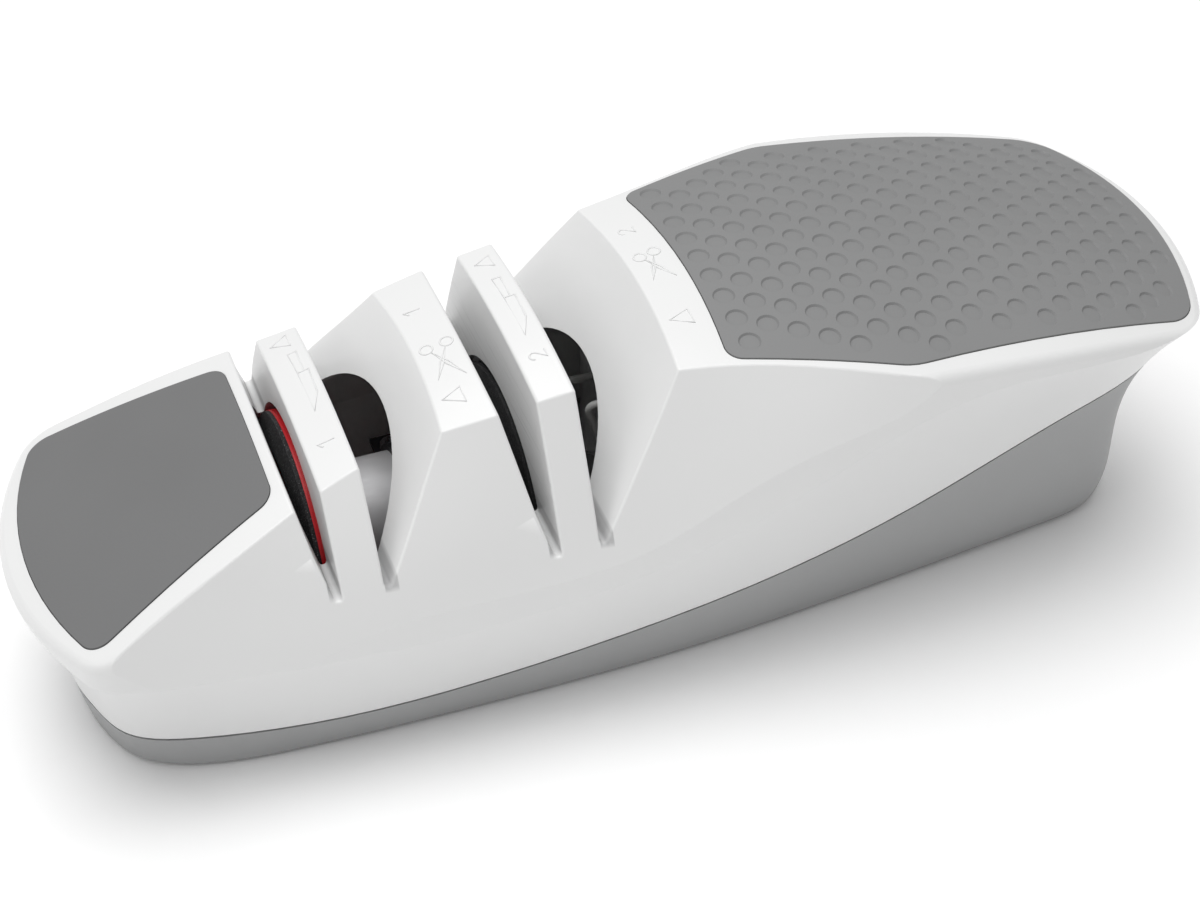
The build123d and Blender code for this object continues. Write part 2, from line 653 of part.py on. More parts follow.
def motor_magnets():
    """Two arc magnets against the wall of the can."""
    outer = CAN_R - CAN_WALL - 0.02
    inner = CORE_R + MAGNET_GAP
    ring = ring_x(outer, inner, CAN_X0 + MAGNET_IN, CAN_X0 + MAGNET_IN + MAGNET_LEN)
    band = Pos(0, 0, AXIS_Z) * Box(2 * LENGTH, 4 * CAN_R, 1.6 * CORE_R)
    return list((ring & band).solids())


def motor_brushes():
    """Carbon blocks on leaf arms that pass through the bell as solder tabs."""
    brushes = []
    mid = BELL_X0 - COMMUTATOR_LEN / 2 - COMMUTATOR_END
    tab_x1 = CAN_X1 + TAB_OUT
    for side in (1, -1):
        arm = Pos((mid + tab_x1) / 2, side * BRUSH_Y, AXIS_Z) * Box(tab_x1 - mid, TAB_T, TAB_W)
        depth = BRUSH_Y - COMMUTATOR_R - RUN_CLEAR
        block = Pos(mid, side * (BRUSH_Y - depth / 2), AXIS_Z) * Box(BRUSH_LEN, depth, TAB_W)
        brushes.append(arm + block)
    return brushes


def motor_shaft():
    """Shaft that comes out of both ends of the motor."""
    bar = along_x(SHAFT_R, SHAFT_X0, SHAFT_X1)
    return chamfer(bar.edges(), 0.3)


def rotor_core():
    """Laminated core with its winding slots."""
    core = ring_x(CORE_R, FIXED_BORE, CORE_X0, CORE_X0 + CORE_LEN)
    for i in range(CORE_POLES):
        turn = Pos(0, 0, AXIS_Z) * Rot(360 / CORE_POLES * i, 0, 0)
        core -= turn * Pos(CORE_X0, 0, CORE_R) * Box(60, 1.0, 2.4)
        core -= turn * Pos(CORE_X0 + CORE_LEN / 2, 0, CORE_R - 3.2) * Rot(0, 90, 0) * Cylinder(1.6, 60)
    return core


def rotor_windings():
    """Copper ends of the coils, a lobe for each pole at both ends of the core."""
    ends = []
    for x0 in (CORE_X0 - COIL_LEN, CORE_X0 + CORE_LEN):
        x1 = x0 + COIL_LEN
        end = ring_x(3.4, FIXED_BORE, x0, x1)
        for i in range(CORE_POLES):
            turn = Pos(0, 0, AXIS_Z) * Rot(360 / CORE_POLES * (i + 0.5), 0, 0)
            end += turn * Pos((x0 + x1) / 2, 0, 4.6) * Rot(0, 90, 0) * Cylinder(2.6, x1 - x0)
        ends.append(end)
    return ends


def commutator():
    """Copper drum with three insulating cuts."""
    x1 = BELL_X0 - COMMUTATOR_END
    drum = ring_x(COMMUTATOR_R, FIXED_BORE, x1 - COMMUTATOR_LEN, x1)
    for i in range(3):
        drum -= Pos(0, 0, AXIS_Z) * Rot(120 * i, 0, 0) * Pos(x1, 0, COMMUTATOR_R) * Box(60, 0.3, 1.2)
    return drum


def turned(points):
    """Revolve a closed (x, radius) outline about the motor axis."""
    face = make_face(Polyline(*[(x, 0, AXIS_Z + r) for x, r in points], close=True))
    return revolve(face, Axis((0, 0, AXIS_Z), (1, 0, 0)))


def wheel_faces(rib_x, rib_t, proud):
    """Working faces of a wheel: the rim edge in the knife slot and the flat face in the scissors slot."""
    return rib_x - proud, rib_x + rib_t + FINE_PROUD


def cone_x(left, radius):
    """Where the coned face of a wheel lies at a radius, with its rim at left."""
    return left - math.tan(math.radians(RING_ANGLE)) * (WHEEL_R - radius)


def wheel_hub(rib_x, rib_t, proud):
    """Wheel body: coned rim on the knife side, flat on the scissors side, thin web and hub."""
    left, right = wheel_faces(rib_x, rib_t, proud)
    left += RING_T
    right -= RING_T
    web_mid = (left + right) / 2
    web_l, web_r = web_mid - WEB_T / 2, web_mid + WEB_T / 2
    hub_l, hub_r = left - HUB_PROUD, right + HUB_PROUD
    foot_r = HUB_R + FILLET_T
    root_r = RIM_IN_R - FILLET_T
    groove_x = left + GROOVE
    groove_end = groove_x + GROOVE
    points = [(hub_l, FIXED_BORE), (hub_l, HUB_R), (web_l, foot_r), (web_l, root_r),
              (cone_x(left, RIM_IN_R), RIM_IN_R), (left, WHEEL_R), (groove_x, WHEEL_R),
              (groove_x, WHEEL_R - GROOVE), (groove_end, WHEEL_R - GROOVE), (groove_end, WHEEL_R),
              (right, WHEEL_R), (right, RIM_IN_R), (web_r, root_r), (web_r, foot_r), (hub_r, HUB_R),
              (hub_r, FIXED_BORE)]
    return turned(points)


def knife_disc(rib_x, rib_t, proud):
    """Coned abrasive ring on the nose side of a wheel."""
    left, _ = wheel_faces(rib_x, rib_t, proud)
    outer_r = WHEEL_R - 0.1
    inner_r = WHEEL_R - RING_W
    out_x = cone_x(left, outer_r)
    in_x = cone_x(left, inner_r)
    back = RING_T - 0.01
    return turned([(out_x, outer_r), (in_x, inner_r), (in_x + back, inner_r), (out_x + back, outer_r)])


def scissors_disc(rib_x, rib_t, proud):
    """Flat abrasive ring on the grip side of a wheel."""
    _, right = wheel_faces(rib_x, rib_t, proud)
    return ring_x(WHEEL_R - 0.4, WHEEL_R - RING_W, right - RING_T + 0.01, right)


def wheel_nuts():
    """Push-on star nuts outside both wheels."""
    left = wheel_faces(*COARSE)[0] + RING_T - HUB_PROUD
    right = wheel_faces(*FINE)[1] - RING_T + HUB_PROUD
    nuts = []
    for x0, x1 in ((left - NUT_T, left), (right, right + NUT_T)):
        nut = ring_x(NUT_R, FIXED_BORE, x0, x1)
        for i in range(NUT_TEETH):
            turn = Pos(0, 0, AXIS_Z) * Rot(360 / NUT_TEETH * i, 0, 0)
            nut -= turn * Pos(x0, 0, NUT_R) * Box(4 * NUT_T, 0.7, 1.6)
        nuts.append(nut)
    return nuts


def motor_clamp():
    """Strap over the motor, with a tab on each side."""
    seat_z = AXIS_Z + STRAP_T / 2
    outer = CAN_R + SEAT + STRAP_T
    strap = ring_x(outer, CAN_R + SEAT, MOTOR_MID - STRAP_W / 2, MOTOR_MID + STRAP_W / 2)
    strap &= Pos(0, 0, AXIS_Z + 50) * Box(400, 100, 100)
    for side in (1, -1):
        mid = outer - 0.2 + STRAP_TAB / 2
        strap += Pos(MOTOR_MID, side * mid, seat_z) * Box(STRAP_W, STRAP_TAB, STRAP_T)
        strap -= upright(CLAMP_SCREW_R + SEAT, 0, 90, MOTOR_MID, side * CLAMP_SCREW_Y)
    return strap


def clamp_screws():
    """Two screws that hold the strap down."""
    pieces = []
    for side in (1, -1):
        piece = Rot(180, 0, 0) * screw(CLAMP_SCREW_LEN, CLAMP_SCREW_R, CLAMP_HEAD_R, CLAMP_HEAD_H)
        pieces.append(Pos(MOTOR_MID, side * CLAMP_SCREW_Y, AXIS_Z + STRAP_T) * piece)
    return pieces


# ---------------------------------------------------------------- battery bay
def battery_places():
    """Middle of each of the four cells, and which way its nub points along X."""
    places = []
    for level in (0, 1):
        for side in (1, -1):
            flip = side if level == 0 else -side
            places.append((side * CELL_PITCH / 2, CELL_Z + level * CELL_PITCH, flip))
    return places


def battery_cells():
    """Four AA cells, nose-side nubs on alternate ones."""
    cells = []
    for y, z, flip in battery_places():
        half = CELL_LEN / 2
        middle = CELL_X + flip * CELL_SHIFT
        can = along_x(CELL_R, middle - flip * half, middle + flip * (half - CELL_NUB), y, z)
        can = fillet(can.edges(), CELL_ROUND)
        nub = along_x(NUB_R, middle + flip * (half - 2 * CELL_NUB), middle + flip * half, y, z)
        cells.append(can + nub)
    return cells


def battery_contacts():
    """Sprung plates at both ends of the cells."""
    plates = []
    low, high = CELL_Z, CELL_Z + CELL_PITCH
    far_x = CELL_X + CONTACT_END - CONTACT_T / 2
    near_x = CELL_X - CONTACT_END + CONTACT_T / 2
    plates.append(Pos(near_x, 0, low) * Box(CONTACT_T, CELL_PITCH + CONTACT_W, CONTACT_W))
    for side in (1, -1):
        y = side * CELL_PITCH / 2
        plates.append(Pos(far_x, y, (low + high) / 2) * Box(CONTACT_T, CONTACT_W, CELL_PITCH + CONTACT_W))
        plate = Pos(near_x, y, high) * Box(CONTACT_T, CONTACT_W, CONTACT_W)
        tab = Pos(near_x, y, high + CONTACT_W / 2 + 3) * Box(CONTACT_T, CONTACT_TAB_W, CONTACT_TAB_H)
        plates.append(plate + tab)
    return plates


def battery_springs():
    """Coils behind the flat end of each cell."""
    springs = []
    for y, z, flip in battery_places():
        cell_end = CELL_LEN / 2 - CELL_SHIFT
        plate = BAY_IN_L / 2 - CONTACT_T
        length = plate - cell_end - 2 * SPRING_WIRE_R - 0.2
        coil = Helix(pitch=length / SPRING_TURNS, height=length, radius=SPRING_R)
        spring = sweep(Plane(coil @ 0, z_dir=coil % 0) * Circle(SPRING_WIRE_R), path=coil)
        start = CELL_X - flip * (cell_end + SPRING_WIRE_R + 0.1)
        springs.append(Pos(start, y, z) * Rot(0, -90 * flip, 0) * spring)
    return springs


def bay_block(grow, low, high):
    """Plain block round the cells."""
    length = BAY_IN_L + 2 * grow
    width = BAY_IN_W + 2 * grow
    return Pos(CELL_X, 0, (low + high) / 2) * Box(length, width, high - low)


def door_pocket():
    """Recess under the base for the door and its travel, with grooves for its tongues."""
    length = DOOR_L + DOOR_TRAVEL + 2 * DOOR_GAP
    mid = DOOR_X + DOOR_TRAVEL / 2
    high = DOOR_T + SEAT
    pocket = Pos(mid, 0, BASE_Z + high / 2 - 1) * Box(length, DOOR_W + 2 * DOOR_GAP, high + 2)
    groove = Pos(mid, 0, TONGUE_Z) * Box(length, DOOR_W + 2 * TONGUE_W + 4 * SEAT, TONGUE_T + 2 * SEAT)
    return pocket + groove


def battery_door():
    """Sliding door with finger ridges and a tongue along each side."""
    plate = Pos(DOOR_X, 0, BASE_Z + DOOR_T / 2) * Box(DOOR_L, DOOR_W, DOOR_T)
    plate = fillet(plate.edges().filter_by(Axis.Z), 1.5)
    tongues = Pos(DOOR_X, 0, TONGUE_Z) * Box(DOOR_L - 8, DOOR_W + 2 * TONGUE_W, TONGUE_T)
    inner_l = BAY_IN_L - 2 * DOOR_TRAVEL - 1
    inner = Pos(CELL_X, 0, BASE_Z + DOOR_T + 0.9) * Box(inner_l, BAY_IN_W - 1, 2.0)
    door = plate + tongues + inner
    for i in range(RIDGES):
        x = DOOR_X + DOOR_L / 2 - 8 - RIDGE_PITCH * i
        door -= Pos(x, 0, BASE_Z) * Box(RIDGE_W, RIDGE_L, 2 * RIDGE_DEPTH)
    return door


# ---------------------------------------------------------------- leads
def lead(points, bend):
    """Round insulated lead along a bent route."""
    path = FilletPolyline(*points, radius=bend)
    return sweep(Plane(path @ 0, z_dir=path % 0) * Circle(LEAD_R), path=path)


def switch_point(x, depth):
    """Place beside the switch, given in its own directions."""
    return tuple(switch_plane().from_local_coords((x, 0, BEZEL_T - BEZEL_SINK - depth)))


def tab_route(side):
    """Route up from a battery contact tab."""
    x = CELL_X - CONTACT_END - LEAD_TOUCH
    y = side * CELL_PITCH / 2
    top = BAY_IN_TOP + BAY_WALL
    return [(x, y, top + 1.2), (x, y, top + 7)]


def motor_route(side):
    """Route past the fine wheel and in to the motor tab."""
    start_y = BRUSH_Y + TAB_T / 2 + 0.02
    return [(-2, side * LEAD_Y, AXIS_Z), (LEAD_X, side * LEAD_Y, AXIS_Z), (LEAD_X, side * start_y, AXIS_Z)]


def lead_battery_switch():
    """From the far contact tab to the switch."""
    x = TERMINAL_SIDE + LEAD_TOUCH
    near = switch_point(x, SWITCH_DEPTH + 7)
    end = switch_point(x, SWITCH_DEPTH + 1.5)
    up = tab_route(1)
    return lead(up + [(near[0] - 0.3, 12, up[-1][2]), near, end], 1.5)


def lead_switch_motor():
    """From the switch past the fine wheel to the motor."""
    x = -TERMINAL_SIDE - LEAD_TOUCH
    start = switch_point(x, SWITCH_DEPTH + 1.5)
    near = switch_point(x, SWITCH_DEPTH + 7)
    return lead([start, near, (-2, near[1] + 0.5, near[2])] + motor_route(1), 2.0)


def lead_battery_motor():
    """From the near contact tab, behind the fine scissors ramp, to the motor."""
    up = tab_route(-1)
    return lead(up + [(-5.2, 0, 46.5), (-2.2, 0, 36.5)] + motor_route(-1), 2.0)


# ---------------------------------------------------------------- shells
def base_inside():
    """Bosses, saddles, bay walls and thick floor inside the base."""
    low = BASE_Z + WALL / 2
    parts = bay_block(BAY_WALL, low, BAY_IN_TOP + BAY_WALL)
    floor_w = DOOR_W + 2 * TONGUE_W + 4
    floor_l = DOOR_L + DOOR_TRAVEL + 5
    floor = Box(floor_l, floor_w, BAY_FLOOR_Z - low)
    parts += Pos(DOOR_X + DOOR_TRAVEL / 2, 0, (low + BAY_FLOOR_Z) / 2) * floor
    for x, y in both_sides(SCREW_PLACES):
        parts += upright(BOSS_R + BASE_BOSS_MORE, low, BOSS_SPLIT_Z, x, y)
    saddle_top = AXIS_Z - 3
    for side in (1, -1):
        parts += upright(3.0, low, AXIS_Z, MOTOR_MID, side * CLAMP_SCREW_Y)
        x = MOTOR_MID + side * SADDLE_SPREAD / 2
        parts += Pos(x, 0, (low + saddle_top) / 2) * Box(SADDLE_T, 2 * CAN_R + 6, saddle_top - low)
    return parts


def base_cuts():
    """Holes and recesses of the base."""
    cuts = [bay_block(0, -1, BAY_IN_TOP), door_pocket(), along_x(CAN_R + SEAT, CAN_X0 - 5, CAN_X1 + 5)]
    for x, y in both_sides(SCREW_PLACES):
        cuts.append(upright(SCREW_R + 0.2, 0, BOSS_SPLIT_Z + 1, x, y))
        cuts.append(upright(SCREW_HEAD_R + 0.3, -1, SCREW_SEAT_Z, x, y))
    for x, y in both_sides(FOOT_PLACES):
        cuts.append(upright(FOOT_R + SEAT, -1, FOOT_T, x, y))
    for side in (1, -1):
        low = AXIS_Z - CLAMP_SCREW_LEN - 1
        cuts.append(upright(CLAMP_SCREW_R + RUN_CLEAR, low, AXIS_Z + 1, MOTOR_MID, side * CLAMP_SCREW_Y))
        slit = Box(CONTACT_T + SEAT, CONTACT_TAB_W + 4 * SEAT, 4 * BAY_WALL)
        slit_x = CELL_X - BAY_IN_L / 2 + (CONTACT_T + SEAT) / 2
        cuts.append(Pos(slit_x, side * CELL_PITCH / 2, BAY_IN_TOP) * slit)
    return cuts


def rubber_feet():
    """Round feet in their recesses."""
    feet = []
    for x, y in both_sides(FOOT_PLACES):
        foot = upright(FOOT_R, 0, FOOT_T, x, y)
        feet.append(fillet(foot.edges().sort_by(Axis.Z)[:1], 0.5))
    return feet


def lower_base():
    """Lower shell with its tongue and everything moulded inside it."""
    above = above_curve(PART_LINE, -PART_GAP)
    floor = Pos(0, 0, -HEIGHT / 2 + BASE_Z) * Box(2 * LENGTH, 2 * WIDTH, HEIGHT)
    hollow_floor = Pos(0, 0, WALL) * floor
    shell = skirt(0) - [above, floor] - (skirt(WALL) - hollow_floor)
    thin = skirt(WALL + SEAT + LIP_T)
    low_band = above_curve(PART_LINE, -TONGUE_ROOT)
    tongue = ((skirt(WALL + SEAT) - thin) & low_band) - above_curve(PART_LINE, LIP_H)
    root = ((skirt(WALL - 0.4) - thin) & low_band) - above_curve(PART_LINE, -PART_GAP - 0.2)
    shell = shell + (base_inside() & (skirt(WALL - 0.2) - floor)) + root + tongue
    return shell - base_cuts()


def upper_housing():
    """Upper shell with guide ribs, ramps, bosses and the switch opening."""
    cavity = body_form(WALL, TOP_WALL) - slot_cuts(GUIDE_WALL)
    shell = (slotted_form() & above_curve(PART_LINE)) - cavity - wheel_windows()
    shell = shell + (housing_bosses() - slot_cuts())
    cuts = housing_pilot_holes() + [switch_cutout()]
    cuts += [pad_recess(nose_outline(PAD_GAP)), pad_recess(grip_outline(PAD_GAP))]
    return shell - cuts


def save(name, shape):
    """Write one node: a single solid, or several kept apart."""
    if isinstance(shape, (list, tuple)):
        solids = [solid for piece in shape for solid in piece.solids()]
    else:
        solids = list(shape.solids())
    whole = solids[0] if len(solids) == 1 else Compound(children=solids)
    export_step(whole, os.path.join("parts", name + ".step"))


def main():
    os.makedirs("parts", exist_ok=True)
    save("upper_housing", upper_housing())
    save("lower_base", lower_base())
    save("nose_pad", pad(nose_outline()))
    save("grip_pad", pad(grip_outline()))
    save("rubber_feet", rubber_feet())
    save("housing_screws", housing_screws())
    save("motor_can", motor_can())
    save("motor_end_bell", motor_end_bell())
    save("motor_bushes", motor_bushes())
    save("motor_magnets", motor_magnets())
    save("motor_brushes", motor_brushes())
    save("motor_clamp", motor_clamp())
    save("clamp_screws", clamp_screws())
    save("motor_shaft", motor_shaft())
    save("rotor_core", rotor_core())
    save("rotor_windings", rotor_windings())
    save("commutator", commutator())
    save("wheel_nuts", wheel_nuts())
    for name, wheel in (("coarse", COARSE), ("fine", FINE)):
        save(name + "_wheel_hub", wheel_hub(*wheel))
        save(name + "_knife_disc", knife_disc(*wheel))
        save(name + "_scissors_disc", scissors_disc(*wheel))
    save("switch_body", switch_body())
    save("switch_rocker", rocker())
    save("rocker_pin", rocker_pin())
    save("switch_terminals", switch_terminals())
    save("battery_cells", battery_cells())
    save("battery_contacts", battery_contacts())
    save("battery_springs", battery_springs())
    save("battery_door", battery_door())
    save("lead_battery_switch", lead_battery_switch())
    save("lead_switch_motor", lead_switch_motor())
    save("lead_battery_motor", lead_battery_motor())


if __name__ == "__main__":
    main()
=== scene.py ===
import bmesh
import bpy
import math
from mathutils import Matrix, Vector
from mathutils.bvhtree import BVHTree


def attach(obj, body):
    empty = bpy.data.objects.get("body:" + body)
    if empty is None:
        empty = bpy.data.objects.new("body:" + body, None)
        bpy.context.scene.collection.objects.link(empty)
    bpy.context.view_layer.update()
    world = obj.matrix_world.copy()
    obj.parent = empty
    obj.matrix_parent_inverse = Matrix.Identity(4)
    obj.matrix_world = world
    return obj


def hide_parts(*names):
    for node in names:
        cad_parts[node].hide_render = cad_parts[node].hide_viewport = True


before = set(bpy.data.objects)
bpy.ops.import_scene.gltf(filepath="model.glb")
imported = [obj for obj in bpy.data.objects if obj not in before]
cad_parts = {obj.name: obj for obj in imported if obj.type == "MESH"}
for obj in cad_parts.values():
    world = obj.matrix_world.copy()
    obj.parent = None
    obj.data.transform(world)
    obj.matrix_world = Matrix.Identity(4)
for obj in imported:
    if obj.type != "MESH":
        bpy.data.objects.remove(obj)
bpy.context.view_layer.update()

# ---------------------------------------------------------------- camera
# A long lens looks down over the nose from the near side, so that the slots open towards the viewer.
lens = bpy.data.cameras.new("studio_camera")
lens.lens = 72
lens.sensor_width = 36
lens.clip_start = 0.01
camera = bpy.data.objects.new("studio_camera", lens)
bpy.context.scene.collection.objects.link(camera)
camera.location = (-0.1291, -0.3399, 0.3531)
camera.rotation_euler = (math.pi / 2 - 0.7226, 0, -0.35783)
bpy.context.scene.camera = camera

# ---------------------------------------------------------------- studio
# A flat white floor under an even pale sky, with one broad soft light overhead and a weaker one
# on the nose side, so that the near flanks fall a little darker than the deck.
scene = bpy.context.scene
scene.view_settings.view_transform = "Standard"

sky = bpy.data.worlds.new("white_tent")
sky.use_nodes = True
sky.node_tree.nodes["Background"].inputs["Color"].default_value = (1, 1, 1, 1)
sky.node_tree.nodes["Background"].inputs["Strength"].default_value = 0.5
scene.world = sky

floor_mesh = bpy.data.meshes.new("studio_floor")
sheet = bmesh.new()
bmesh.ops.create_grid(sheet, x_segments=1, y_segments=1, size=4)
sheet.to_mesh(floor_mesh)
sheet.free()
floor = bpy.data.objects.new("studio_floor", floor_mesh)
scene.collection.objects.link(floor)

floor_paper = bpy.data.materials.new("floor_paper")
floor_paper.use_nodes = True
paper = floor_paper.node_tree
paper_shader = paper.nodes["Principled BSDF"]
paper_shader.inputs["Roughness"].default_value = 0.9
paper_shader.inputs["Specular IOR Level"].default_value = 0.1
paper_fibre = paper.nodes.new("ShaderNodeTexNoise")
paper_fibre.inputs["Scale"].default_value = 40
paper_tint = paper.nodes.new("ShaderNodeMix")
paper_tint.data_type = "RGBA"
paper_tint.inputs["A"].default_value = (0.97, 0.97, 0.97, 1)
paper_tint.inputs["B"].default_value = (0.985, 0.985, 0.985, 1)
paper_place = paper.nodes.new("ShaderNodeTexCoord")
paper.links.new(paper_place.outputs["Object"], paper_fibre.inputs["Vector"])
paper.links.new(paper_fibre.outputs["Fac"], paper_tint.inputs["Factor"])
paper.links.new(paper_tint.outputs["Result"], paper_shader.inputs["Base Color"])
floor.data.materials.append(floor_paper)


def soft_light(name, place, aim, size, power):
    """Square soft box that faces a point."""
    data = bpy.data.lights.new(name, "AREA")
    data.size = size
    data.energy = power
    lamp = bpy.data.objects.new(name, data)
    lamp.location = place
    lamp.rotation_euler = (Vector(aim) - Vector(place)).to_track_quat("-Z", "Y").to_euler()
    scene.collection.objects.link(lamp)


soft_light("overhead_box", (-0.1, 0.15, 1.3), (0, 0, 0.05), 1.1, 12.6)
soft_light("nose_box", (-1.3, -0.3, 0.9), (-0.05, 0, 0.05), 0.8, 2.0)

# ---------------------------------------------------------------- lower shell
# The base is one injection moulding in grey ABS with a fine spark-eroded skin.
# Its tongue sits inside the white shell and leaves a thin shadow gap along the parting line.


def new_group(name, takes, gives):
    """Empty shader node group with named float or colour sockets."""
    group = bpy.data.node_groups.new(name, "ShaderNodeTree")
    for socket, kind, value in takes:
        made = group.interface.new_socket(socket, in_out="INPUT", socket_type=kind)
        if value is not None:
            made.default_value = value
    for socket, kind in gives:
        group.interface.new_socket(socket, in_out="OUTPUT", socket_type=kind)
    return group, group.nodes.new("NodeGroupInput"), group.nodes.new("NodeGroupOutput")


def two_noise_group(name, fine, coarse, fine_detail, coarse_detail):
    """A fine and a coarse pattern in one group, each with its own scale."""
    group, given, made = new_group(
        name,
        [("Vector", "NodeSocketVector", None), (fine + " Scale", "NodeSocketFloat", 2000.0),
         (coarse + " Scale", "NodeSocketFloat", 30.0)],
        [(fine, "NodeSocketFloat"), (coarse, "NodeSocketFloat")])
    for label, detail in ((fine, fine_detail), (coarse, coarse_detail)):
        noise = group.nodes.new("ShaderNodeTexNoise")
        noise.inputs["Detail"].default_value = detail
        noise.inputs["Roughness"].default_value = 0.6
        group.links.new(given.outputs["Vector"], noise.inputs["Vector"])
        group.links.new(given.outputs[label + " Scale"], noise.inputs["Scale"])
        group.links.new(noise.outputs["Fac"], made.inputs[label])
    return group


moulded_skin = two_noise_group("moulded_skin", "Grain", "Drift", 3, 2)


class Finish:
    """One material: its nodes, its shader and the place that patterns are read from."""

    def __init__(self, name):
        self.material = bpy.data.materials.new(name)
        self.material.use_nodes = True
        self.tree = self.material.node_tree
        self.shader = self.tree.nodes["Principled BSDF"]
        self.place = self.add("ShaderNodeTexCoord").outputs["Object"]

    def feed(self, node, inputs):
        for key, value in inputs.items():
            socket = node.inputs[key.replace("_", " ")]
            if isinstance(value, bpy.types.NodeSocket):
                self.tree.links.new(value, socket)
            else:
                socket.default_value = value
        return node

    def add(self, kind, **inputs):
        return self.feed(self.tree.nodes.new(kind), inputs)

    def group(self, group, **inputs):
        node = self.tree.nodes.new("ShaderNodeGroup")
        node.node_tree = group
        return self.feed(node, inputs)

    def math(self, operation, first, second=0.0):
        node = self.tree.nodes.new("ShaderNodeMath")
        node.operation = operation
        for slot, value in enumerate((first, second)):
            if isinstance(value, bpy.types.NodeSocket):
                self.tree.links.new(value, node.inputs[slot])
            else:
                node.inputs[slot].default_value = value
        return node.outputs["Value"]

    def axes(self):
        """The three object coordinates, in metres."""
        split = self.add("ShaderNodeSeparateXYZ", Vector=self.place)
        return split.outputs["X"], split.outputs["Y"], split.outputs["Z"]

    def stretched(self, x, y, z):
        """Object coordinates scaled along each axis, for grain that runs one way."""
        return self.add("ShaderNodeMapping", Vector=self.place, Scale=(x, y, z)).outputs["Vector"]

    def spread(self, value, low, high, from_low=0.3, from_high=0.7):
        """Map a pattern's useful range to another range."""
        return self.add("ShaderNodeMapRange", Value=value, From_Min=from_low, From_Max=from_high,
                        To_Min=low, To_Max=high).outputs["Result"]

    def within(self, value, low, high, soft):
        """1 inside a range and 0 outside it, with soft edges."""
        rise = self.spread(value, 0, 1, low - soft, low + soft)
        fall = self.spread(value, 1, 0, high - soft, high + soft)
        return self.math("MULTIPLY", rise, fall)

    def blend(self, factor, first, second):
        """Mix two colours, given as colours or as sockets."""
        node = self.tree.nodes.new("ShaderNodeMix")
        node.data_type = "RGBA"
        for key, value in (("Factor", factor), ("A", first), ("B", second)):
            if isinstance(value, bpy.types.NodeSocket):
                self.tree.links.new(value, node.inputs[key])
            else:
                node.inputs[key].default_value = value if key == "Factor" else (*value, 1)
        return node.outputs["Result"]

    def wear(self, socket, value):
        """Feed one of the shader's sockets, with a number or a pattern."""
        target = self.shader.inputs[socket]
        if isinstance(value, bpy.types.NodeSocket):
            self.tree.links.new(value, target)
        else:
            target.default_value = value

    def relief(self, height, depth):
        """Bump from a pattern, its depth in metres."""
        bump = self.add("ShaderNodeBump", Height=height, Distance=depth, Strength=1)
        self.wear("Normal", bump.outputs["Normal"])


def moulding(name, light, dark, grain, drift, depth, rough):
    """Moulded plastic or rubber; grain and drift are pattern scales, depth is the bump in metres."""
    finish = Finish(name)
    skin = finish.group(moulded_skin, Vector=finish.place, Grain_Scale=grain, Drift_Scale=drift)
    finish.wear("Base Color", finish.blend(finish.spread(skin.outputs["Drift"], 0, 1), dark, light))
    finish.wear("Roughness", finish.spread(skin.outputs["Drift"], rough[0], rough[1]))
    finish.relief(skin.outputs["Grain"], depth)
    return finish


def dress(finish, *nodes):
    """Give CAD nodes their finish."""
    for node in nodes:
        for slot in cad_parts[node].material_slots:
            slot.material = finish.material


base_grey = moulding("base_grey_abs", (0.355, 0.358, 0.36), (0.335, 0.338, 0.34), 1400, 18, 0.00003,
                     (0.5, 0.58))
dress(base_grey, "lower_base")

# ---------------------------------------------------------------- battery door and feet
# The door is moulded in the same grey, with finger grooves, and slides in under the base.
# The feet are pressed rubber discs with a matt, faintly mottled skin.
door_grey = moulding("door_grey_abs", (0.35, 0.353, 0.355), (0.33, 0.333, 0.335), 1400, 24, 0.00003,
                     (0.5, 0.58))
dress(door_grey, "battery_door")

foot_rubber = moulding("foot_rubber", (0.035, 0.035, 0.035), (0.02, 0.02, 0.02), 1800, 90, 0.00004,
                       (0.75, 0.9))
dress(foot_rubber, "rubber_feet")

# ---------------------------------------------------------------- batteries
# Four AA cells: steel cans in a dark shrink wrap with a copper band at the nub end, bare metal ends.
# They press on nickel-plated plates and coiled springs.
# Neighbouring cells point opposite ways, so the nub's side turns over with each side and row.
CELL_MIDDLE_X = 0.047
BETWEEN_ROWS_Z = 0.01975
BAND_STARTS = 0.011
WRAP_ENDS = 0.02535
cell_wrap = Finish("cell_wrap")
cell_x, cell_y, cell_z = cell_wrap.axes()
from_middle = cell_wrap.math("SUBTRACT", cell_x, CELL_MIDDLE_X)
lower_row = cell_wrap.math("SUBTRACT", BETWEEN_ROWS_Z, cell_z)
nub_way = cell_wrap.math("SIGN", cell_wrap.math("MULTIPLY", cell_y, lower_row))
towards_nub = cell_wrap.math("MULTIPLY", from_middle, nub_way)
copper_band = cell_wrap.spread(towards_nub, 0, 1, BAND_STARTS - 0.0002, BAND_STARTS + 0.0002)
bare_end = cell_wrap.spread(cell_wrap.math("ABSOLUTE", from_middle), 0, 1, WRAP_ENDS - 0.00015,
                            WRAP_ENDS + 0.00015)
wrap_skin = cell_wrap.group(moulded_skin, Vector=cell_wrap.place, Grain_Scale=900, Drift_Scale=60)
wrap_tone = cell_wrap.blend(cell_wrap.spread(wrap_skin.outputs["Drift"], 0, 1), (0.02, 0.035, 0.045),
                            (0.028, 0.045, 0.055))
band_tone = cell_wrap.blend(cell_wrap.spread(wrap_skin.outputs["Drift"], 0, 1), (0.5, 0.24, 0.1),
                            (0.58, 0.29, 0.13))
wrapped = cell_wrap.blend(copper_band, wrap_tone, band_tone)
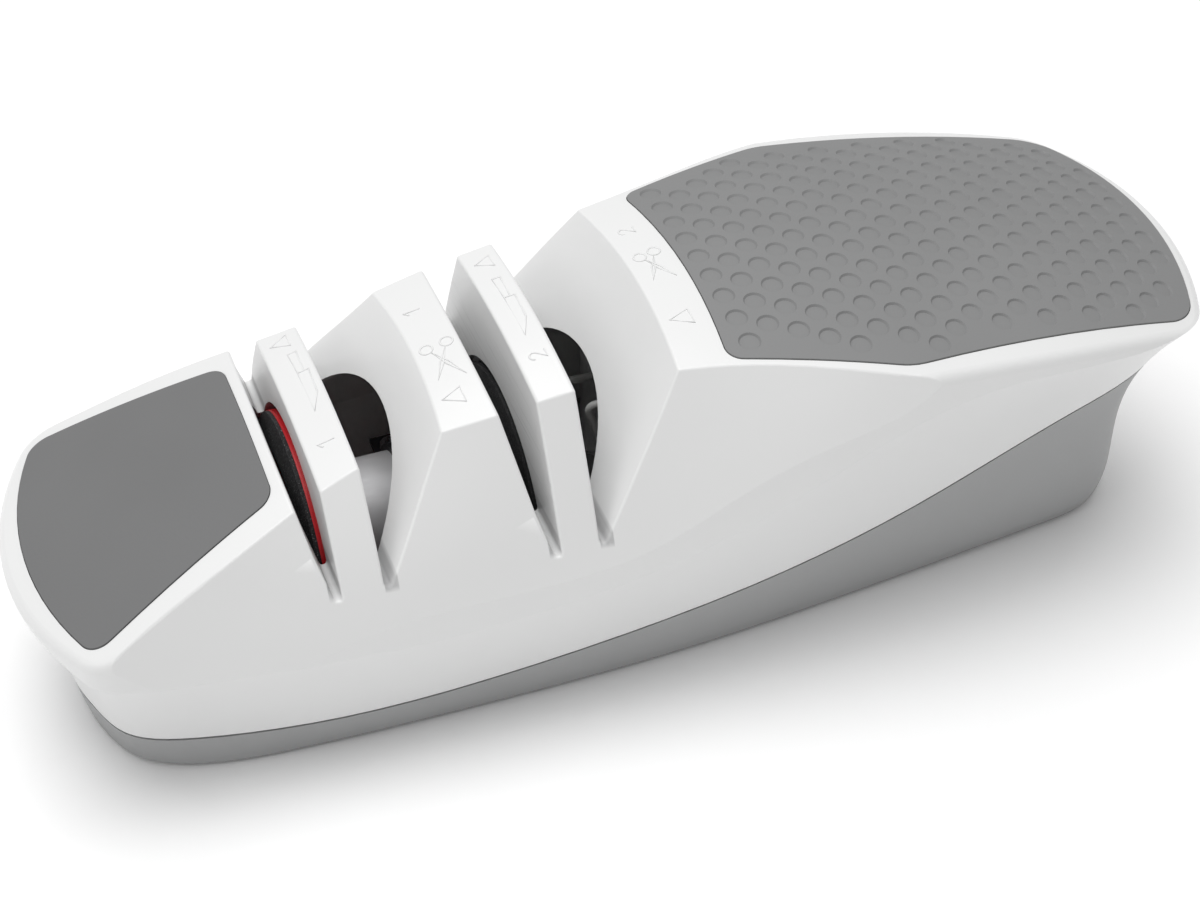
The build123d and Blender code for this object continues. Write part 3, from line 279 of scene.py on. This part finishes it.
cell_wrap.wear("Base Color", cell_wrap.blend(bare_end, wrapped, (0.62, 0.62, 0.6)))
cell_wrap.wear("Metallic", cell_wrap.math("MAXIMUM", bare_end,
                                          cell_wrap.math("MULTIPLY", copper_band, 0.6)))
cell_wrap.wear("Roughness", cell_wrap.spread(wrap_skin.outputs["Drift"], 0.22, 0.32))
cell_wrap.relief(wrap_skin.outputs["Grain"], 0.000008)
dress(cell_wrap, "battery_cells")

drawn_grain = two_noise_group("drawn_grain", "Line", "Stain", 2, 3)


def metal(name, light, dark, along, rough, depth=0.000004, metallic=1.0):
    """Bare or plated metal; along stretches its grain, given as a scale for each axis."""
    finish = Finish(name)
    grain = finish.group(drawn_grain, Vector=finish.stretched(*along), Line_Scale=1, Stain_Scale=1)
    cloud = finish.group(moulded_skin, Vector=finish.place, Grain_Scale=960, Drift_Scale=120)
    tone = finish.blend(finish.spread(cloud.outputs["Drift"], 0, 1), dark, light)
    finish.wear("Base Color", tone)
    finish.wear("Metallic", metallic)
    finish.wear("Roughness", finish.spread(grain.outputs["Line"], rough[0], rough[1]))
    finish.relief(grain.outputs["Line"], depth)
    return finish


nickel = metal("nickel_plate", (0.72, 0.71, 0.68), (0.62, 0.61, 0.58), (2500, 300, 2500), (0.2, 0.36))
dress(nickel, "battery_contacts", "battery_springs")

# ---------------------------------------------------------------- motor
# A zinc-plated drawn can closed by a black nylon bell, with ferrite magnets, sintered bronze bushes
# and copper brush arms. A nylon strap with two screws holds it down on its saddles.
can_zinc = metal("can_zinc", (0.62, 0.62, 0.63), (0.55, 0.55, 0.56), (300, 2600, 2600), (0.5, 0.62),
                 metallic=0.35)
dress(can_zinc, "motor_can")

nylon_black = moulding("nylon_black", (0.022, 0.022, 0.024), (0.014, 0.014, 0.016), 1500, 60, 0.00002,
                       (0.45, 0.55))
dress(nylon_black, "motor_end_bell", "motor_clamp")

ferrite = moulding("ferrite", (0.05, 0.05, 0.053), (0.028, 0.028, 0.03), 2600, 400, 0.00005, (0.7, 0.9))
dress(ferrite, "motor_magnets")

bronze = moulding("sintered_bronze", (0.42, 0.26, 0.1), (0.3, 0.18, 0.07), 3000, 500, 0.00003, (0.4, 0.55))
bronze.wear("Metallic", 0.9)
dress(bronze, "motor_bushes")

copper = metal("copper_strip", (0.72, 0.36, 0.2), (0.55, 0.25, 0.13), (400, 2600, 2600), (0.25, 0.42))
dress(copper, "motor_brushes", "commutator")

# ---------------------------------------------------------------- rotor
# A ground steel shaft carries the stamped laminations, the enamelled coils and the commutator.
# Push-on star nuts of spring steel hold the wheels.
ground_steel = metal("ground_steel", (0.62, 0.62, 0.63), (0.5, 0.5, 0.51), (5000, 600, 600), (0.16, 0.3))
dress(ground_steel, "motor_shaft")

lamination = metal("stamped_steel", (0.36, 0.36, 0.37), (0.26, 0.26, 0.27), (9000, 120, 120),
                   (0.35, 0.6), 0.00002)
dress(lamination, "rotor_core")

enamel = metal("enamelled_wire", (0.6, 0.22, 0.06), (0.4, 0.12, 0.03), (5000, 5000, 400),
               (0.2, 0.35), 0.00006)
dress(enamel, "rotor_windings")

spring_steel = metal("spring_steel", (0.5, 0.5, 0.5), (0.36, 0.36, 0.37), (2400, 2400, 400), (0.24, 0.4))
dress(spring_steel, "wheel_nuts")

# ---------------------------------------------------------------- wheels
# The coarse wheel is bright red ABS and the fine one charcoal, each turned smooth round its rim.
# Rings of black grit are bonded to both faces, with bright specks where the grains are broken.
red_abs = moulding("red_abs", (0.62, 0.012, 0.02), (0.52, 0.009, 0.015), 1500, 80, 0.00001, (0.3, 0.4))
dress(red_abs, "coarse_wheel_hub")

charcoal_abs = moulding("charcoal_abs", (0.035, 0.036, 0.04), (0.026, 0.027, 0.03), 1500, 60, 0.00001,
                        (0.4, 0.5))
dress(charcoal_abs, "fine_wheel_hub")


def grit(name, grain, bright):
    """Abrasive grains in black resin; grain is the pattern's scale, bright how much the specks show."""
    finish = Finish(name)
    cells = finish.add("ShaderNodeTexVoronoi", Vector=finish.place, Scale=grain)
    cloud = finish.group(moulded_skin, Vector=finish.place, Grain_Scale=grain * 2, Drift_Scale=90)
    resin = finish.blend(finish.spread(cloud.outputs["Drift"], 0, 1), (0.007, 0.007, 0.008),
                         (0.014, 0.014, 0.015))
    speck = finish.spread(cloud.outputs["Grain"], 0, 1, 0.62, 0.7)
    finish.wear("Base Color", finish.blend(finish.math("MULTIPLY", speck, bright), resin,
                                           (0.3, 0.3, 0.31)))
    finish.wear("Roughness", finish.spread(cloud.outputs["Grain"], 0.95, 0.55))
    finish.relief(cells.outputs["Distance"], 0.0001)
    return finish


dress(grit("coarse_grit", 1900, 0.8), "coarse_knife_disc", "coarse_scissors_disc")
dress(grit("fine_grit", 3200, 0.5), "fine_knife_disc", "fine_scissors_disc")

# ---------------------------------------------------------------- switch
# A bought-in rocker switch in black nylon, snapped into the far side of the housing. Its rocker has a
# raised bar and ring, and two tinned tabs stand out of its back.
switch_black = moulding("switch_black", (0.02, 0.02, 0.021), (0.013, 0.013, 0.014), 1900, 80, 0.00002,
                        (0.3, 0.4))
dress(switch_black, "switch_body", "switch_rocker")
tinned = metal("tinned_steel", (0.68, 0.68, 0.67), (0.56, 0.56, 0.55), (600, 600, 2600), (0.3, 0.45))
dress(tinned, "switch_terminals", "rocker_pin")

# The switch sits square to the curved side, so its face has a turned frame of its own. The rocker is
# stored tipped half its throw to one side.
PIVOT_DEPTH = 0.0034
BEZEL_LIP = 0.0006
HALF_THROW = 8
switch_face = Matrix((
    (0.9978056, -0.0176216, 0.0638236, 0.023),
    (-0.0662115, -0.2655565, 0.9618190, 0.0364938),
    (0, -0.9639343, -0.2661405, 0.0315),
    (0, 0, 0, 1)))
rocker_pivot = Matrix.Translation((0, 0, BEZEL_LIP - PIVOT_DEPTH))
rocker_tilt = Matrix.Rotation(math.radians(-HALF_THROW), 4, "Y")
rocker_pose = switch_face @ rocker_pivot @ rocker_tilt @ Matrix.Translation((0, 0, PIVOT_DEPTH))


def raised_lines(name, strokes, radius, material, body):
    """Thin round ribs along strokes, half sunk in the face they are moulded on."""
    curve = bpy.data.curves.new(name, "CURVE")
    curve.dimensions = "3D"
    curve.bevel_depth = radius
    curve.bevel_resolution = 1
    curve.use_fill_caps = True
    for points, closed in strokes:
        spline = curve.splines.new("POLY")
        spline.points.add(len(points) - 1)
        for point, place in zip(spline.points, points):
            point.co = (*place, 1)
        spline.use_cyclic_u = closed
    drawn = bpy.data.objects.new(name + "_curve", curve)
    mesh = bpy.data.meshes.new_from_object(drawn)
    bpy.data.objects.remove(drawn)
    bpy.data.curves.remove(curve)
    mesh.name = name
    mesh.shade_smooth()
    mesh.materials.clear()
    mesh.materials.append(material)
    piece = bpy.data.objects.new(name, mesh)
    scene.collection.objects.link(piece)
    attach(piece, body)


def ring_stroke(centre_x, centre_y, radius, place, count):
    """Closed round stroke, laid out in a plane and put in place point by point."""
    turn = [2 * math.pi * i / count for i in range(count)]
    return [place(centre_x + radius * math.cos(a), centre_y + radius * math.sin(a)) for a in turn], True


# The V falls from both ends of the rocker to its middle.
V_RISE = 1.8 / 6.8
V_FLOOR = -0.0002


def on_rocker(x, y):
    """Point on the shallow V face of the rocker, in the switch's own plan."""
    return rocker_pose @ Vector((x, y, V_FLOOR + abs(x) * V_RISE))


mark_white = moulding("mark_white", (0.7, 0.7, 0.69), (0.62, 0.62, 0.61), 1500, 200, 0.00001, (0.5, 0.6))
raised_lines("switch_marks",
             [([on_rocker(0.0036, -0.0013), on_rocker(0.0036, 0.0013)], False),
              ring_stroke(-0.0038, 0, 0.0012, on_rocker, 28)],
             0.00016, mark_white.material, "rocker")

# ---------------------------------------------------------------- leads
# Three thin leads insulated in white PVC. They run from the battery contacts to the switch, and round
# the fine wheel to the motor's brushes.
pvc_white = moulding("pvc_white", (0.74, 0.74, 0.72), (0.68, 0.68, 0.66), 900, 90, 0.00001, (0.35, 0.45))
dress(pvc_white, "lead_battery_switch", "lead_switch_motor", "lead_battery_motor")

# ---------------------------------------------------------------- upper shell
# White ABS from a polished tool, so it is glossy with a very faint ripple. The foot of each slot is
# painted a darker grey as painted shade. Blades drawn through the guides have left fine slanted rub
# lines on one wall.
white_abs = Finish("white_abs")
gloss_skin = white_abs.group(moulded_skin, Vector=white_abs.place, Grain_Scale=260, Drift_Scale=14)
shell_x, _, shell_z = white_abs.axes()
slanted = white_abs.add("ShaderNodeMapping", Vector=white_abs.place, Rotation=(math.radians(35), 0, 0),
                        Scale=(2500, 40, 1400))
rub_and_shade_streaks = white_abs.group(drawn_grain, Vector=slanted.outputs["Vector"], Line_Scale=1, Stain_Scale=0.08)

# Bands along the body that cover the foot of each slot, from the nose back.
SLOT_FEET_X = ((-0.0669, -0.06455), (-0.05662, -0.054), (-0.0255, -0.02315), (-0.01572, -0.0131))
foot_shade_zone = 0.0
for slot_start, slot_end in SLOT_FEET_X:
    this_foot = white_abs.within(shell_x, slot_start, slot_end, 0.0001)
    foot_shade_zone = white_abs.math("MAXIMUM", this_foot, foot_shade_zone)
# The painted shade at the slot feet keeps to a band in height, and a coarse pattern mottles it.
foot_shade_zone = white_abs.math("MULTIPLY", foot_shade_zone, white_abs.within(shell_z, 0.0441, 0.0468, 0.0005))
foot_shade_mottle = white_abs.spread(rub_and_shade_streaks.outputs["Stain"], 0.35, 1, 0.35, 0.65)
wall_zone = white_abs.math("MULTIPLY", white_abs.within(shell_x, -0.0234, -0.0231, 0.00004),
                           white_abs.within(shell_z, 0.046, 0.066, 0.006))
wall_lines = white_abs.spread(rub_and_shade_streaks.outputs["Line"], 0, 0.3, 0.56, 0.7)
# Painted shade at the slot feet, together with the real rub lines on the one wall.
rubbed_and_shaded = white_abs.math("MAXIMUM", white_abs.math("MULTIPLY", foot_shade_zone, foot_shade_mottle),
                        white_abs.math("MULTIPLY", wall_zone, wall_lines))
shell_tone = white_abs.blend(white_abs.spread(gloss_skin.outputs["Drift"], 0, 1), (0.765, 0.767, 0.765),
                             (0.78, 0.782, 0.78))
# Both darken the white towards grey: painted shade at the slot feet, rub lines on the wall.
white_abs.wear("Base Color", white_abs.blend(white_abs.math("MULTIPLY", rubbed_and_shaded, 0.75), shell_tone,
                                             (0.2, 0.2, 0.205)))
white_abs.wear("Roughness", white_abs.math("ADD", white_abs.spread(gloss_skin.outputs["Drift"], 0.3, 0.36),
                                           white_abs.math("MULTIPLY", rubbed_and_shaded, 0.3)))
white_abs.wear("Coat Weight", 0.2)
white_abs.wear("Coat Roughness", 0.2)
white_abs.relief(gloss_skin.outputs["Grain"], 0.00001)
dress(white_abs, "upper_housing")

# ---------------------------------------------------------------- pads
# Soft grey TPE inlays bonded in shallow pockets. The nose pad is plain and very fine grained; the grip
# pad has staggered rows of shallow round dimples and a softly rounded edge.
nose_tpe = moulding("nose_tpe", (0.16, 0.161, 0.162), (0.148, 0.149, 0.15), 1800, 25, 0.00003, (0.6, 0.72))
dress(nose_tpe, "nose_pad")
grip_tpe = moulding("grip_tpe", (0.222, 0.223, 0.224), (0.208, 0.209, 0.21), 1800, 25, 0.00003, (0.58, 0.7))

# The top is turned about an axis across the body: an arc CROWN_ACROSS in radius over the width, swept
# round a circle CROWN_SWEEP larger along the length.
CROWN_ACROSS = 0.151
CROWN_SWEEP = 0.157
CROWN_TOP_X = 0.0235
CROWN_TOP_Z = 0.0762
PAD_LIFT = 0.00025
PAD_EDGE_ROUND = 0.0003
DIMPLE_FIRST_X = 0.0183
DIMPLE_MIDDLE_Y = 0.0003
DIMPLE_STEP_X = 0.00497
DIMPLE_STEP_Y = 0.0063
DIMPLE_COLUMNS = 20
DIMPLE_ROWS = 7
DIMPLE_R = 0.0022
DIMPLE_DEPTH = 0.00045
DIMPLE_BORDER = 0.00275
PUNCH_HEIGHT = 0.002


def on_crown(x, y, lift=0.0):
    """Point of the doubly curved top over a plan position, and its normal there."""
    across = CROWN_ACROSS + lift
    turn = CROWN_SWEEP + math.sqrt(across ** 2 - y ** 2)
    z = CROWN_TOP_Z - (CROWN_ACROSS + CROWN_SWEEP) + math.sqrt(turn ** 2 - (x - CROWN_TOP_X) ** 2)
    tilt = y / across
    lean = (x - CROWN_TOP_X) / turn
    level = math.sqrt(1 - tilt ** 2)
    return Vector((x, y, z)), Vector((lean * level, tilt, math.sqrt(1 - lean ** 2) * level))


def crown_normal(place):
    """Normal of the pad's own lifted surface over a point."""
    return on_crown(place.x, place.y, PAD_LIFT)[1]


# The pad is copied from the solid, and its upper rim is rounded.
grip = bmesh.new()
grip.from_mesh(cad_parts["grip_pad"].data)
bmesh.ops.remove_doubles(grip, verts=grip.verts, dist=0.000002)
bmesh.ops.recalc_face_normals(grip, faces=grip.faces)
top_faces = {face for face in grip.faces
             if face.normal.dot(crown_normal(face.calc_center_median())) > 0.97}
rim_edges = [edge for edge in grip.edges
             if sum(face in top_faces for face in edge.link_faces) == 1 and len(edge.link_faces) == 2]
bmesh.ops.bevel(grip, geom=rim_edges, affect="EDGES", offset=PAD_EDGE_ROUND, segments=2, profile=0.5,
                material=-1, clamp_overlap=True)
pad_tree = BVHTree.FromBMesh(grip)


def inside_pad(x, y):
    """Whether a dimple at a plan position keeps its border to the pad's edge."""
    for i in range(12):
        turn = math.pi * i / 6
        above = Vector((x + DIMPLE_BORDER * math.cos(turn), y + DIMPLE_BORDER * math.sin(turn), 0.2))
        hit = pad_tree.ray_cast(above, Vector((0, 0, -1)))[0]
        if hit is None or hit.z < on_crown(above.x, above.y)[0].z:
            return False
    return True


# Each dimple is cut by a short cone that widens upwards and stands square to the surface.
punches = bmesh.new()
for column in range(DIMPLE_COLUMNS):
    x = DIMPLE_FIRST_X + DIMPLE_STEP_X * column
    for row in range(-DIMPLE_ROWS, DIMPLE_ROWS + 1):
        y = DIMPLE_STEP_Y * (row + 0.5 * (column % 2)) + DIMPLE_MIDDLE_Y
        if inside_pad(x, y):
            place, up = on_crown(x, y, PAD_LIFT)
            turned = up.to_track_quat("Z", "X").to_matrix().to_4x4()
            sunk = Matrix.Translation((0, 0, PUNCH_HEIGHT / 2 - DIMPLE_DEPTH))
            bmesh.ops.create_cone(punches, cap_ends=True, segments=24, radius1=DIMPLE_R - 0.0003,
                                  radius2=DIMPLE_R + 0.001, depth=PUNCH_HEIGHT,
                                  matrix=Matrix.Translation(place) @ turned @ sunk)
punch_mesh = bpy.data.meshes.new("dimple_punches")
punches.to_mesh(punch_mesh)
punches.free()
punch = bpy.data.objects.new("dimple_punches", punch_mesh)
scene.collection.objects.link(punch)
grip_mesh = bpy.data.meshes.new("grip_inlay")
grip.to_mesh(grip_mesh)
grip.free()
grip_blank = bpy.data.objects.new("grip_blank", grip_mesh)
scene.collection.objects.link(grip_blank)
carve = grip_blank.modifiers.new("dimples", "BOOLEAN")
carve.operation = "DIFFERENCE"
carve.solver = "EXACT"
carve.object = punch
bpy.context.view_layer.update()
carved = bpy.data.meshes.new_from_object(grip_blank.evaluated_get(bpy.context.evaluated_depsgraph_get()))
carved.name = "grip_inlay"
bpy.data.objects.remove(grip_blank)
bpy.data.objects.remove(punch)

# Between the dimples the shading follows the crown itself, so the cuts leave no facets round them.
carved.shade_smooth()
soft_normals = [Vector(corner.vector) for corner in carved.corner_normals]
for face in carved.polygons:
    centre = Vector(face.center)
    flat = face.normal.dot(crown_normal(centre)) > 0.985
    for corner in face.loop_indices:
        if flat:
            soft_normals[corner] = crown_normal(carved.vertices[carved.loops[corner].vertex_index].co)
        else:
            soft_normals[corner] = (soft_normals[corner] + 1.2 * face.normal).normalized()
carved.normals_split_custom_set([tuple(normal) for normal in soft_normals])
carved.materials.clear()
carved.materials.append(grip_tpe.material)
grip_inlay = bpy.data.objects.new("grip_inlay", carved)
scene.collection.objects.link(grip_inlay)
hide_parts("grip_pad")
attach(grip_inlay, "case")

# ---------------------------------------------------------------- guide marks
# Each guide has small marks moulded proud on its white top: a triangle that points along the pull,
# an outline of a knife or of scissors, and the number of the stage.


def on_top(x, y):
    """Point on the white top surface, from plan millimetres."""
    return on_crown(x / 1000, y / 1000)[0]


def open_stroke(*points):
    """Stroke with two ends, from plan millimetres."""
    return [on_top(x, y) for x, y in points], False


def closed_stroke(*points):
    """Stroke that ends where it starts, from plan millimetres."""
    return [on_top(x, y) for x, y in points], True


FINGER_RING_R = 1.25
HALF_BLADE = 0.35


def scissors_strokes(ring_a, ring_b, tip_a, tip_b):
    """Two finger rings and two crossed blades."""
    strokes = [ring_stroke(x, y, FINGER_RING_R, on_top, 16) for x, y in (ring_a, ring_b)]
    for (x0, y0), (x1, y1) in ((ring_a, tip_b), (ring_b, tip_a)):
        reach = math.hypot(x1 - x0, y1 - y0)
        step = ((x1 - x0) / reach, (y1 - y0) / reach)
        start = (x0 + step[0] * FINGER_RING_R, y0 + step[1] * FINGER_RING_R)
        side = (-step[1] * HALF_BLADE, step[0] * HALF_BLADE)
        mid = ((start[0] + x1) / 2, (start[1] + y1) / 2)
        strokes.append(closed_stroke(start, (mid[0] + side[0], mid[1] + side[1]), (x1, y1),
                                     (mid[0] - side[0], mid[1] - side[1])))
    return strokes


def knife_strokes(x, y0, y1):
    """Handle and blade outline along Y, its handle at y0 and its point at y1."""
    y_heel = y0 + (y1 - y0) * 0.36
    handle = closed_stroke((x - 0.8, y0), (x + 0.8, y0), (x + 0.6, y_heel), (x - 0.6, y_heel))
    blade = closed_stroke((x - 0.6, y_heel), (x + 1.5, y_heel),
                          (x + 1.3, y_heel + (y1 - y_heel) * 0.6), (x - 0.5, y1))
    return [handle, blade]


NUMERAL_SIZE = 3.2


def numeral(x, y, outline):
    """A numeral with its top towards the nose, from an outline one unit high."""
    return open_stroke(*[(x + u * NUMERAL_SIZE, y + v * NUMERAL_SIZE) for u, v in outline])


ONE = [(-0.25, -0.3), (-0.5, 0), (0.5, 0)]
TWO = [(-0.22 - 0.28 * math.sin(math.radians(a)), -0.28 * math.cos(math.radians(a)))
       for a in range(0, 181, 20)]
TWO += [(-0.05, 0.22), (0.5, -0.3), (0.5, 0.32)]

coarse_knife_guide = [
    closed_stroke((-62.7, 18.5), (-59.2, 16.5), (-59.2, 20.5)),
    *knife_strokes(-59.6, 13.9, -4.6),
    numeral(-60.4, -13, ONE)]
coarse_scissors_guide = [
    numeral(-36.3, 11, ONE),
    *scissors_strokes((-37.3, -1.4), (-33.2, -1.1), (-37.6, -10.1), (-32.5, -10.9)),
    closed_stroke((-38.5, -15.1), (-34.65, -13.55), (-34.65, -17.5))]
fine_knife_guide = [
    closed_stroke((-21.2, 18), (-17.8, 16), (-17.8, 20)),
    *knife_strokes(-19, 11.7, -7),
    numeral(-19.2, -13, TWO)]
fine_scissors_guide = [
    numeral(8.7, 14, TWO),
    *scissors_strokes((7.8, 4.5), (11, 5.3), (7.7, -3.1), (12.2, -3.4)),
    closed_stroke((6.4, -14.65), (10.55, -13.05), (10.55, -16.9))]
guide_strokes = coarse_knife_guide + coarse_scissors_guide + fine_knife_guide + fine_scissors_guide
raised_lines("guide_marks", guide_strokes, 0.0002, white_abs.material, "case")

# ---------------------------------------------------------------- screws
# Zinc-plated pan-head screws, cold headed from steel wire. They close the case from below and hold the
# motor strap on its saddles.
zinc_screw = metal("zinc_screw", (0.6, 0.61, 0.62), (0.45, 0.46, 0.48), (1800, 1800, 500), (0.25, 0.42))
dress(zinc_screw, "housing_screws", "clamp_screws")
